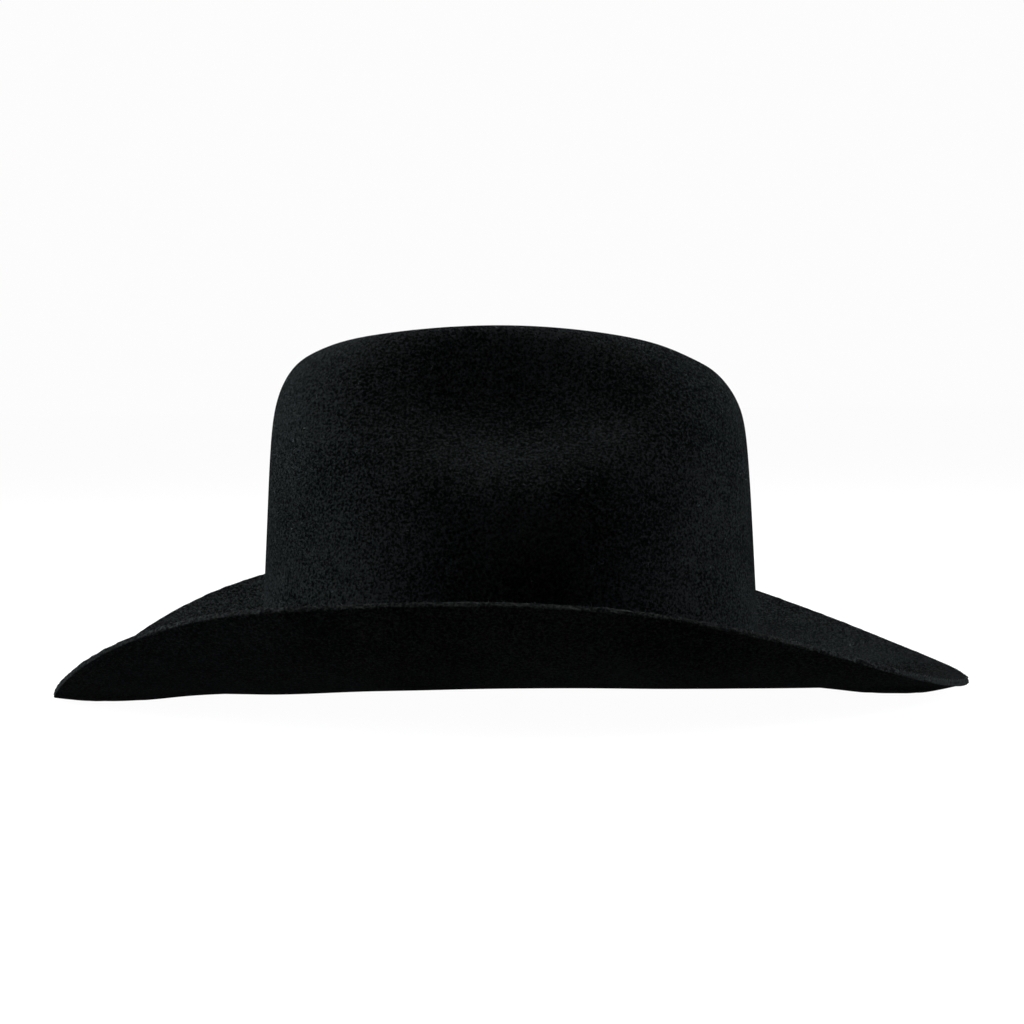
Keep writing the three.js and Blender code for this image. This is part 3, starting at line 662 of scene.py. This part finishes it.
def reed_and_tape():
    t = np.linspace(-math.pi + BUTT, math.pi - BUTT, 361)
    reed = tubes(
        "sweatband_reed_rod", [reed_centre(t)], REED_RADIUS, 14, "hat",
        "sweatband_reed",
    )
    paint(reed, REED)
    t = angles(360)
    inner = REED_RADIUS + GAP
    outer = inner + TAPE
    bend = np.linspace(0, -math.pi, 13)
    up = foot_height(t) + 8
    loop = [inside(t, up, np.full(t.shape, FELT + GAP + 0.1 + TAPE))]
    loop += [by_reed(t, inner * math.cos(a), inner * math.sin(a)) for a in bend]
    loop += [by_reed(t, -inner, 0.9), by_reed(t, -outer, 0.9)]
    loop += [by_reed(t, outer * math.cos(a), outer * math.sin(a)) for a in bend[::-1]]
    loop += [inside(t, up, np.full(t.shape, FELT + GAP + 0.1))]
    tape = swept_ring("reed_tape_fold", np.stack(loop, 1)[:, ::-1], "hat", "reed_tape")
    paint(tape, OILCLOTH)


def on_leather(t, height, proud):
    depth = leather_depth(height) + LEATHER + proud
    return inside(t, foot_height(t) + height, np.broadcast_to(depth, np.shape(t)))


def stitches():
    count = 150
    step = 2 * math.pi / count
    paths = []
    for i in range(count):
        t = -math.pi + (i + 0.5) * step
        if abs(abs(t) - math.pi) < 0.03:
            continue
        ends = on_leather(np.array([t - 0.36 * step, t + 0.36 * step]), 3.9, 0.12)
        ends[1, 2] += 0.35
        paths.append(capsule(ends[0], ends[1], -0.3 * outward(np.array(t))))
    obj = tubes(
        "sweatband_stitches", paths, STITCH_RADII, 8, "hat", "sweatband_stitching"
    )
    paint(obj, THREAD)


def at_back(x, height, proud):
    """A point on the leather at the back, x millimetres towards the wearer's right."""
    t = math.pi + np.arcsin(np.asarray(x, float) / CROWN_B)
    depth = leather_depth(np.asarray(height, float)) + LEATHER + proud
    return inside(t, foot_height(t) + height, np.broadcast_to(depth, np.shape(t)))


def seam():
    heights = np.linspace(18, SWEATBAND_HEIGHT - 3, 17)
    paths = []
    for i in range(len(heights) - 1):
        x0, x1 = (-2.2, 2.2) if i % 2 else (2.2, -2.2)
        ends = at_back(np.array([x0, x1]), heights[i : i + 2], 0.12)
        paths.append(capsule(ends[0], ends[1], np.array([0.32, 0, 0])))
    obj = tubes("back_seam_zigzag", paths, STITCH_RADII, 8, "hat", "back_seam_stitch")
    paint(obj, THREAD)


def bow():
    """Two flattened loops and a small knot of ribbon."""
    columns, rows = 25, 9
    middle = 11  # height of the bow above the foot
    points, faces = [], []
    for side in (-1, 1):
        base = len(points)
        for layer in (0, 1):
            for i in range(columns):
                s = i / (columns - 1)
                half = mix(1.6, 4.0, smooth(s * 1.3))
                for j in range(rows):
                    v = 2 * j / (rows - 1) - 1
                    puff = 0.75 * math.sin(math.pi * min(s * 1.02, 1)) * (1 - 0.35 * v * v)
                    crease = 0.16 * math.cos(9 * v) * (1 - s)
                    proud = 1.25 + (puff if layer else -puff * 0.75) + crease
                    x = side * mix(0.8, 12.0, s)
                    points.append(at_back(x, middle + half * v, max(proud, 0.35) + 0.1))
        sheet = columns * rows
        for layer in (0, 1):
            for i in range(columns - 1):
                for j in range(rows - 1):
                    a = base + layer * sheet + i * rows + j
                    quad = (a, a + 1, a + rows + 1, a + rows)
                    faces.append(quad if (layer == 0) == (side < 0) else quad[::-1])
        end = base + (columns - 1) * rows
        for j in range(rows - 1):
            faces.append((end + j, end + j + 1, end + sheet + j + 1, end + sheet + j))
    obj = mesh_object("sweatband_bow_ribbon", points, faces, "hat", "sweatband_bow")
    thick = obj.modifiers.new("thickness", "SOLIDIFY")
    thick.thickness = 0.0002
    paint(obj, SATIN_BLACK)
    knot = [at_back(1.125 * math.cos(v), middle + 1.9 * math.sin(v), 1.4) for v in angles(16)]
    ring = tubes("sweatband_bow_knot", [knot], 0.75, 10, "hat", closed=True)
    paint(ring, SATIN_BLACK)


sweatband()
reed_and_tape()
stitches()
seam()
bow()
paint(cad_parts["back_seam_tape"], OILCLOTH)
paint(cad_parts["size_tag"], TAG)


# ---- lining ----------------------------------------------------------------------------------
LINING_DEPTH = FELT + GAP
TIP_SAG, PIPING_RADIUS = 2.0, 0.9
SHIELD_A, SHIELD_B = 46, 32


def lining_control(t):
    hem = foot_height(t) + HEM_ABOVE_FOOT
    over = np.full(t.shape, FOOT_AT_SIDES + SWEATBAND_HEIGHT + OVER_LEATHER)

    def wall(z, extra):
        return inside(t, z, np.full(t.shape, LINING_DEPTH + extra))

    return np.stack(
        [
            oval(t, 1, TIP_A + 1.6, TIP_B + 1.6, TIP_HEIGHT - 3.5),
            oval(t, 1, TIP_A + 9, TIP_B + 10, TIP_HEIGHT - 5),
            oval(t, 1, TIP_A + 19, TIP_B + 22, mix(over, TIP_HEIGHT - 5, 2 / 3)),
            wall(over, 0.4),
            wall(mix(hem, over, 0.6), 0.0),
            wall(hem, 0.0),
        ],
        -2,
    )


def lining_side():
    columns = 900
    t = angles(columns)
    control = lining_control(t)
    rows = np.linspace(0, 5, 61)
    grid = np.stack([spline(control, u) for u in rows])
    normal = normals_of(grid)
    gather = np.zeros((len(rows), columns))
    u = rows[:, None]
    for k, phase, amount in ((64, 0.4, 0.5), (97, 1.9, 0.35), (41, 4.0, 0.3)):
        fade = np.exp(-(((u - 0.3) / (1.1 + 0.4 * np.sin(3 * t + phase))) ** 2))
        gather += amount * fade * (0.5 + 0.5 * np.sin(k * t + phase + 0.6 * np.sin(5 * t) * u))
    for k, phase in ((7, 0.0), (13, 2.2), (19, 4.4)):
        gather += 0.22 * smooth(u / 2) * (0.5 + 0.5 * np.sin(k * t + phase + 1.3 * u))
    grid = grid - normal * gather[..., None]
    under = grid - normals_of(grid) * 0.35
    loop = np.concatenate([grid, under[::-1]]).transpose(1, 0, 2)
    obj = swept_ring("lining_satin_side", loop, "hat", "lining_side")
    paint(obj, SATIN_BLACK)
    return obj


def oval_dish(name, a, b, height, sag, thickness, node, pucker=0.0):
    """A shallow oval dish, and its edge gathered by pucker."""
    rings, columns = 36, 240
    t = angles(columns)
    share = np.linspace(0, 1, rings + 1)[:, None]
    z = height - sag * share**2
    if pucker:
        gathers = 0.5 + 0.5 * np.sin(60 * t + 2 * np.sin(4 * t))
        z = z - pucker * smooth((share - 0.75) * 4) * gathers
        z = z - 0.35 * np.sin(3 * t + 1) * share * (1 - share) - 0.5 * share * (1 - share)
    grid = np.stack([1 + a * share * np.cos(t), b * share * np.sin(t), z + 0 * t], -1)
    under = grid - [0, 0, thickness]
    surface = np.concatenate([grid[1:], under[:0:-1]])
    points, faces = domed_sheet(surface, grid[0, 0], under[0, 0])
    return mesh_object(name, points, faces, "hat", node)


def lining():
    side = lining_side()
    tip = oval_dish(
        "lining_satin_tip", TIP_A, TIP_B, TIP_HEIGHT, TIP_SAG, 0.35, "lining_tip",
        0.5,
    )
    paint(tip, SATIN_BLACK)
    t = angles(300)
    cord_at = TIP_HEIGHT - TIP_SAG - SATIN - GAP - PIPING_RADIUS
    cord = oval(t, 1, TIP_A - 0.6, TIP_B - 0.6, cord_at)
    piping = tubes(
        "lining_piping_cord", [cord], PIPING_RADIUS + 0.06 * np.sin(150 * t), 12, "hat",
        "lining_piping", closed=True,
    )
    paint(piping, SATIN_BLACK)
    t = angles(360)
    depth = LINING_DEPTH + SATIN + GAP + 0.1
    loop = []
    for up, extra in ((0, 0), (5, 0), (10, 0), (10, 0.4), (5, 0.4), (0, 0.4)):
        z = foot_height(t) + HEM_ABOVE_FOOT + up
        loop.append(inside(t, z, np.full(t.shape, depth + extra)))
    sections = np.stack(loop, 1)[:, ::-1]
    hem = swept_ring("lining_hem_ribbon", sections, "hat", "lining_hem_tape")
    paint(hem, RIBBON)
    shield_at = TIP_HEIGHT - SATIN - 2 * GAP - 0.6
    shield = oval_dish(
        "lining_clear_shield", SHIELD_A, SHIELD_B, shield_at, 0.8, 0.3, "tip_shield"
    )
    paint(shield, VINYL)
    paths = []
    count = 96
    for i in range(count):
        a = (i + np.array([0.14, 0.86])) * 2 * math.pi / count
        ends = oval(a, 1, SHIELD_A - 2, SHIELD_B - 2, shield_at - 1.35)
        paths.append(capsule(ends[0], ends[1], np.array([0, 0, -0.25])))
    radii = [0.14, 0.24, 0.26, 0.26, 0.24, 0.14]
    sewn = tubes("shield_stitches", paths, radii, 8, "hat", "shield_stitching")
    paint(sewn, THREAD)
    return side, tip


side, tip = lining()


# ---- hat band ---------------------------------------------------------------------------------
BAND_MIDDLE = BAND_ABOVE_FOOT + BAND_HEIGHT / 2
HEEL_OUT = BAND_GAP + BAND_THICKNESS + GAP + HEEL_BAR_RADIUS
SLEEVE_RADIUS = HEEL_OUT - BAND_GAP
FRAME_LENGTH, FRAME_TILT, FRAME_HALF = 12.0, 0.15, BAND_HEIGHT / 2 + 2.2
KEEPER_AT, KEEPER_METAL, TIP_AT = 10.0, 0.5, 24.0
BEHIND_KEEPER = GAP + 0.3
UNDER_KEEPER = BEHIND_KEEPER + KEEPER_METAL + GAP
UPPER_LAYER = UNDER_KEEPER + BAND_THICKNESS + GAP
OVER_SLEEVE = HEEL_OUT + SLEEVE_RADIUS + GAP


def on_band(t, y, out):
    """A point y up from the band's middle line and out from the felt."""
    t = np.asarray(t, float)
    middle = foot_height(t) + BAND_MIDDLE
    up = wall_at(t, middle + 4) - wall_at(t, middle - 4)
    along = np.stack([-CROWN_A * np.sin(t), CROWN_B * np.cos(t), 0 * t], -1)
    normal = np.cross(along, up)
    normal /= np.linalg.norm(normal, axis=-1, keepdims=True)
    return wall_at(t, middle + y) + normal * np.asarray(out, float)[..., None]


def band_angle(x):
    return math.pi / 2 + np.arcsin(np.asarray(x, float) / CROWN_A)


def band_frame(x):
    """Matrix of the flat frame at x along the band: x to the back, y up, z out."""
    t = float(band_angle(x))
    origin = on_band(t, 0, 0.0)
    along = Vector(on_band(t + 0.01, 0, 0.0) - on_band(t - 0.01, 0, 0.0)).normalized()
    up = Vector(on_band(t, 4, 0.0) - on_band(t, -4, 0.0)).normalized()
    out = along.cross(up).normalized()
    up = out.cross(along)
    rows = Matrix((along, up, out)).transposed().to_4x4()
    return Matrix.Translation(Vector(origin)) @ rows


def placed(points, x):
    """Points of the flat frame at x, on the hat."""
    m = np.array(band_frame(x))
    return np.asarray(points, float) @ m[:3, :3].T + m[:3, 3]


def lower_layer(x):
    return mix(BAND_GAP, UNDER_KEEPER, smooth(2.2 - np.abs(x - KEEPER_AT) / 3))


def upper_layer(x):
    behind = mix(OVER_SLEEVE, UPPER_LAYER, smooth((x - 1.5) / 5))
    before = mix(OVER_SLEEVE, BAND_GAP, smooth((-x - 1) / 11.5))
    return np.where(x > 0, behind, before)


def strap_profile():
    """Outline of the strap's section: y up, and share of its thickness, with soft edges."""
    half = BAND_HEIGHT / 2
    ys = [-half, -half + 0.15, *np.linspace(-half + 0.5, half - 0.5, 9), half - 0.15, half]
    inner = [(y, 0.3 if abs(y) > half - 0.1 else 0.0) for y in ys]
    outer = [(y, 0.7 if abs(y) > half - 0.1 else 1.0) for y in reversed(ys)]
    return inner + outer


def strap():
    """The band from under its buckle round the crown to its tip, with a sewn line near each edge."""
    x_near = np.linspace(1, 18, 60)
    t_round = np.linspace(band_angle(18), 2 * math.pi + band_angle(-14), 400)[1:]
    x_over = np.linspace(-13.8, TIP_AT + 5.5, 150)
    t = np.concatenate([band_angle(x_near), t_round, band_angle(x_over)])
    level = np.full(t_round.shape, BAND_GAP)
    out = np.concatenate([lower_layer(x_near), level, upper_layer(x_over)])
    sections = []
    for y, share in strap_profile():
        sewn = -0.12 if abs(abs(y) - (BAND_HEIGHT / 2 - 1.63)) < 0.5 and share == 1.0 else 0.0
        sections.append(on_band(t, y, out + share * BAND_THICKNESS + sewn))
    sections = np.stack(sections, 1)
    return swept_ring("band_strap", sections, "band", "hat_band", False)


def band_fold():
    """The band's end, folded round the heel bar on both sides of the tongue."""
    points, faces = [], []
    for y0, y1 in ((-BAND_HEIGHT / 2, -1.25), (1.25, BAND_HEIGHT / 2)):
        base = len(points)
        a = angles(32)
        for y in (y0, y1):
            for r in (HEEL_BAR_RADIUS + GAP, SLEEVE_RADIUS):
                for v in a:
                    points.append((r * math.cos(v), y, HEEL_OUT + r * math.sin(v)))
        n = len(a)
        for j in range(n):
            k = (j + 1) % n
            a0, b0, a1, b1 = base, base + n, base + 2 * n, base + 3 * n
            faces.append((a0 + j, a0 + k, b0 + k, b0 + j))
            faces.append((a1 + j, b1 + j, b1 + k, a1 + k))
            faces.append((b0 + j, b0 + k, b1 + k, b1 + j))
            faces.append((a0 + j, a1 + j, a1 + k, a0 + k))
    return mesh_object("band_fold", placed(points, 0), faces, "band")


def cut_slot(obj):
    """Cuts the slot for the buckle's tongue."""
    cutter = bpy.data.meshes.new("slot_cutter")
    corners = [(x, y, z) for x in (-7.6, 2.4) for y in (-1.2, 1.2) for z in (-0.4, 9)]
    cutter.from_pydata(
        (placed(corners, 0) * MM).tolist(), [],
        [(0, 1, 3, 2), (4, 6, 7, 5), (0, 4, 5, 1), (2, 3, 7, 6), (0, 2, 6, 4), (1, 5, 7, 3)],
    )
    knife = bpy.data.objects.new("slot_cutter", cutter)
    bpy.context.scene.collection.objects.link(knife)
    cut = obj.modifiers.new("slot", "BOOLEAN")
    cut.object = knife
    cut.operation = "DIFFERENCE"
    cut.solver = "EXACT"
    apply_modifiers(obj)
    bpy.data.objects.remove(knife)


def band():
    whole = strap()
    fold = band_fold()
    cut_slot(whole)
    paint(whole, FELT_BAND)
    paint(fold, FELT_BAND)


def apply_modifiers(obj):
    """Bakes the object's modifiers into its mesh."""
    graph = bpy.context.evaluated_depsgraph_get()
    graph.update()
    made = bpy.data.meshes.new_from_object(obj.evaluated_get(graph))
    obj.modifiers.clear()
    obj.data = made


def rounded_loop(x0, x1, half, radius, per_corner=8):
    """Centre line of a rounded rectangle."""
    corners = [
        (x1 - radius, -half + radius, -90), (x1 - radius, half - radius, 0),
        (x0 + radius, half - radius, 90), (x0 + radius, -half + radius, 180),
    ]
    loop = []
    for cx, cy, start in corners:
        for i in range(per_corner + 1):
            a = math.radians(start + 90 * i / per_corner)
            loop.append((cx + radius * math.cos(a), cy + radius * math.sin(a), 0.0))
    return loop


def lean(points):
    """Tips points of the buckle out about its heel bar."""
    c, s = math.cos(FRAME_TILT), math.sin(FRAME_TILT)
    p = np.asarray(points, float)
    return np.stack(
        [c * p[:, 0] + s * p[:, 2], p[:, 1], -s * p[:, 0] + c * p[:, 2] + HEEL_OUT], -1
    )


def fine_loop(loop, step=0.35):
    """The same closed line with points at even steps."""
    p = np.asarray(loop, float)
    closed = np.concatenate([p, p[:1]])
    along = np.concatenate([[0], np.cumsum(np.linalg.norm(np.diff(closed, axis=0), axis=1))])
    count = int(along[-1] / step)
    s = np.linspace(0, along[-1], count, endpoint=False)
    return np.stack([np.interp(s, along, closed[:, k]) for k in range(3)], -1)


def buckle():
    bar = 0.82  # radius of the frame's wire
    loop = rounded_loop(-FRAME_LENGTH + bar, 0.35, FRAME_HALF - bar, 1.6)
    path = placed(lean(fine_loop(loop)), 0)
    points, faces = [], []
    tube_mesh(path, bar, 14, True, points, faces)
    heel = [(0.0, y, 0.0) for y in np.linspace(-FRAME_HALF + 1, FRAME_HALF - 1, 9)]
    tube_mesh(placed(lean(heel), 0), HEEL_BAR_RADIUS, 14, False, points, faces)
    frame_ring = mesh_object(
        "band_buckle_frame", points, faces, "band", "band_buckle"
    )
    paint(frame_ring, SILVER)


def tongue():
    """An eye bent round the heel bar, and an arm that ends on the frame's front bar."""
    eye_radius = 1.18
    eye = [
        (eye_radius * math.cos(a), 0.0, eye_radius * math.sin(a))
        for a in np.linspace(0.4, 2 * math.pi - 1.0, 26)
    ]
    rest = 0.65 + GAP + 0.62
    end = -FRAME_LENGTH
    arm = np.array([
        (-1.0, 0, 0.95), (-1.8, 0, 1.5), (-3.0, 0, 2.05), (-5.5, 0, 2.1), (-8.5, 0, 1.85),
        (end + 1, 0, rest + 0.12), (end, 0, rest), (end - 0.5, 0, rest - 0.2),
    ])
    u = np.linspace(0, len(arm) - 1, 60)
    smooth_arm = np.stack([spline(arm, v) for v in u])
    points, faces = [], []
    tube_mesh(placed(lean(eye), 0), 0.34, 12, False, points, faces, flat=1.9)
    radii = np.interp(u / u[-1], [0, 0.15, 0.8, 0.95, 1], [0.5, 0.62, 0.6, 0.5, 0.2])
    tube_mesh(placed(lean(smooth_arm), 0), radii, 14, False, points, faces)
    obj = mesh_object(
        "band_buckle_tongue", points, faces, "tongue", "buckle_tongue"
    )
    paint(obj, SILVER)


def keeper():
    """A loop of metal round both layers of the band, thinner behind than in front."""
    half = BAND_HEIGHT / 2 + GAP + 0.2 + 0.4
    low = BEHIND_KEEPER + KEEPER_METAL / 2
    high = UPPER_LAYER + BAND_THICKNESS + GAP + 0.4
    front, back = 0.7, 0.35  # radii of the loop's corners
    loop = []
    for cy, cz, r, start in (
        (half - front, high - front, front, 0), (front - half, high - front, front, 90),
        (back - half, low + back, back, 180), (half - back, low + back, back, 270),
    ):
        for i in range(7):
            a = math.radians(start + 15 * i)
            loop.append((cy + r * math.cos(a), cz + r * math.sin(a)))
    sections = []
    wide = 2.0  # half its width along the band
    centre_z = (low + high) / 2
    for cy, cz in loop:
        section = []
        radial = np.array([cy, cz - centre_z])
        radial = radial / max(np.linalg.norm(radial), 1e-6)
        thick = 0.36 if cz > centre_z else 0.22
        for x, r in ((-wide, 0.4), (-wide + 0.35, 1.0), (0, 1.15), (wide - 0.35, 1.0), (wide, 0.4),
                     (wide, -0.6), (wide - 0.3, -0.9), (-wide + 0.3, -0.9), (-wide, -0.6)):
            section.append((x, cy + radial[0] * thick * r, cz + radial[1] * thick * r))
        sections.append(section)
    flat = np.asarray(sections)
    world = placed(flat.reshape(-1, 3), KEEPER_AT).reshape(flat.shape)
    paint(swept_ring("band_keeper_loop", world, "band", "band_keeper"), SILVER)


paint(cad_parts["band_tip"], SILVER)
band()
buckle()
tongue()
keeper()


# ---- floor, lights and camera -----------------------------------------------------------------
def studio():
    """A white floor and a white backdrop, which lights the hat only a little."""
    floor = bpy.data.meshes.new("floor")
    s = 14.0  # half its side, in metres
    floor.from_pydata([(-s, -s, 0), (s, -s, 0), (s, s, 0), (-s, s, 0)], [], [(0, 1, 2, 3)])
    plane = bpy.data.objects.new("floor", floor)
    plane.location.z = -0.0004
    bpy.context.scene.collection.objects.link(plane)
    m = Nodes("floor_white", Base_Color=(0.03, 0.03, 0.03), Roughness=0.9, Specular_IOR_Level=0.0)
    m.shader.inputs["Emission Color"].default_value = (1, 1, 1, 1)
    m.shader.inputs["Emission Strength"].default_value = 0.97
    paint(plane, m.material)

    world = bpy.data.worlds.new("studio")
    bpy.context.scene.world = world
    world.use_nodes = True
    tree = world.node_tree
    background = tree.nodes["Background"]
    background.inputs["Color"].default_value = (1, 1, 1, 1)
    background.inputs["Strength"].default_value = 0.03
    backdrop = tree.nodes.new("ShaderNodeBackground")
    backdrop.inputs["Color"].default_value = (1, 1, 1, 1)
    backdrop.inputs["Strength"].default_value = 0.975
    path = tree.nodes.new("ShaderNodeLightPath")
    either = tree.nodes.new("ShaderNodeMixShader")
    tree.links.new(path.outputs["Is Camera Ray"], either.inputs["Fac"])
    tree.links.new(background.outputs[0], either.inputs[1])
    tree.links.new(backdrop.outputs[0], either.inputs[2])
    tree.links.new(either.outputs[0], tree.nodes["World Output"].inputs["Surface"])


def area_light(name, place, target, size, power, colour=(1, 1, 1)):
    data = bpy.data.lights.new(name, "AREA")
    data.shape = "RECTANGLE"
    data.size, data.size_y = size
    data.energy = power
    data.color = colour
    light = bpy.data.objects.new(name, data)
    light.location = place
    direction = Vector(target) - Vector(place)
    light.rotation_euler = direction.to_track_quat("-Z", "Y").to_euler()
    bpy.context.scene.collection.objects.link(light)


def camera():
    distance, height = 1.05, 0.1292
    yaw, tilt, roll = -1.58, 2.85, -0.74  # degrees
    aside = 0.0018  # the camera stands this far to the hat's front
    data = bpy.data.cameras.new("camera")
    data.sensor_width = 36
    data.lens = 86.5
    data.clip_end = 60
    cam = bpy.data.objects.new("camera", data)
    psi = math.radians(yaw)
    cam.location = (aside - distance * math.sin(psi), -distance * math.cos(psi), height)
    turn = Matrix.Rotation(-psi, 4, "Z") @ Matrix.Rotation(math.radians(90 - tilt), 4, "X")
    turn = turn @ Matrix.Rotation(math.radians(roll), 4, "Z")
    cam.rotation_euler = turn.to_euler()
    bpy.context.scene.collection.objects.link(cam)
    bpy.context.scene.camera = cam


studio()
area_light("left_box", (-1.2, 0.0, 0.45), (0, 0, 0.08), (0.8, 1.0), 135, (0.9, 0.97, 1.0))
area_light("right_box", (1.2, 0.2, 0.45), (0, 0, 0.08), (0.8, 1.0), 112, (0.88, 0.96, 1.0))
area_light("top_box", (0.15, 0.4, 1.35), (0, 0, 0.1), (1.0, 0.7), 88, (1.0, 1.0, 0.95))
camera()
bpy.context.scene.view_settings.view_transform = "Standard"
